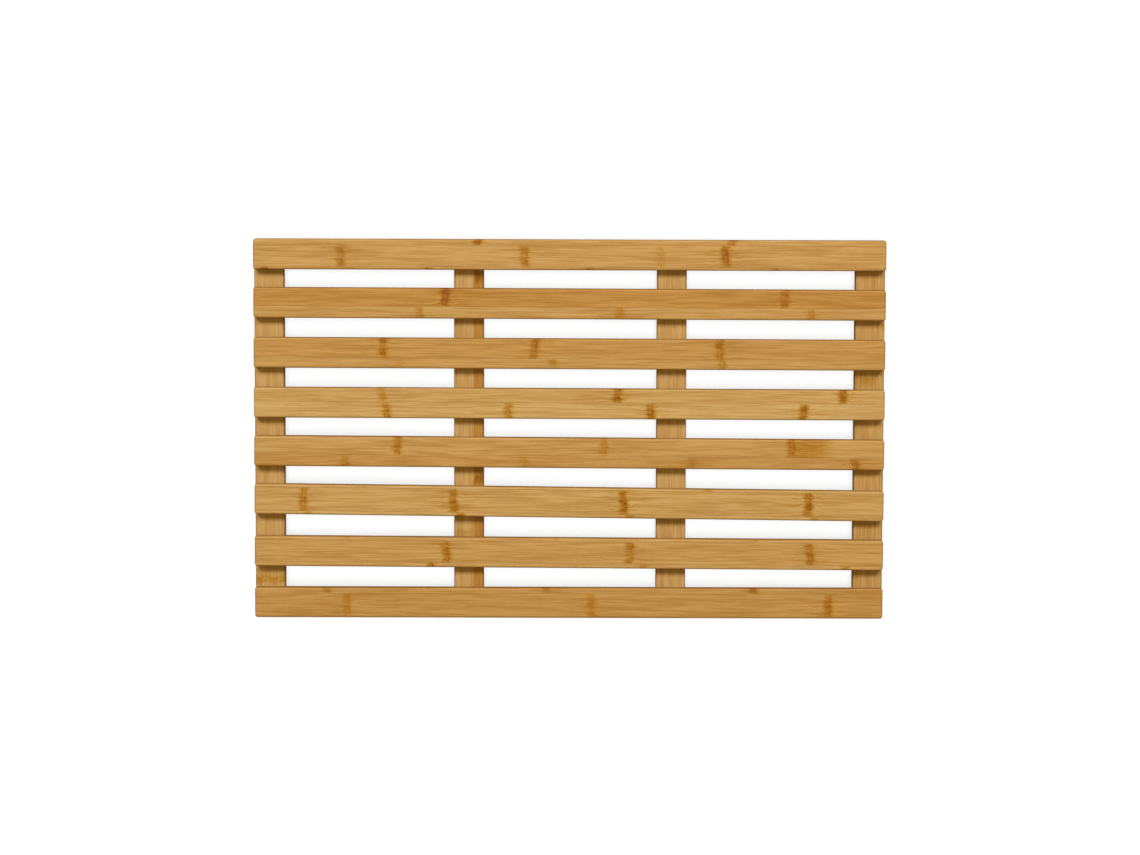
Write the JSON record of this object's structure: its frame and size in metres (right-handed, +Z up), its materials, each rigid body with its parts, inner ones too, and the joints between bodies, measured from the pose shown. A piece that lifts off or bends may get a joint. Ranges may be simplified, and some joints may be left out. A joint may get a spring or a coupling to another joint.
{
  "type": "bath mat",
  "caption": "Rigid slatted bamboo bath mat: long slats screwed across battens on rubber feet, with drainage gaps, to stand on when stepping out of a bath or shower.",
  "frame": {"origin": "on the floor plane, under the middle of the mat", "axes": "+X along the slats, +Y across the slats towards the back edge, +Z up"},
  "size_m": [0.6002, 0.3617, 0.028],
  "materials": {
    "bamboo_slat": "oiled, satin",
    "bamboo_batten": "oiled, satin",
    "stainless_steel": "satin",
    "rubber_foot": "matt"
  },
  "bodies": {
    "root": {"slat_1": "bamboo_slat", "slat_2": "bamboo_slat", "slat_3": "bamboo_slat", "slat_4": "bamboo_slat", "slat_5": "bamboo_slat", "slat_6": "bamboo_slat", "slat_7": "bamboo_slat", "slat_8": "bamboo_slat", "batten_left_outer": "bamboo_batten", "slat_screws_left_outer": "stainless_steel", "foot_left_outer_back": "rubber_foot", "foot_left_outer_front": "rubber_foot", "batten_left_inner": "bamboo_batten", "slat_screws_left_inner": "stainless_steel", "foot_left_inner_back": "rubber_foot", "foot_left_inner_front": "rubber_foot", "batten_right_inner": "bamboo_batten", "slat_screws_right_inner": "stainless_steel", "foot_right_inner_back": "rubber_foot", "foot_right_inner_front": "rubber_foot", "batten_right_outer": "bamboo_batten", "slat_screws_right_outer": "stainless_steel", "foot_right_outer_back": "rubber_foot", "foot_right_outer_front": "rubber_foot", "foot_screws": "stainless_steel"}
  },
  "joints": []
}
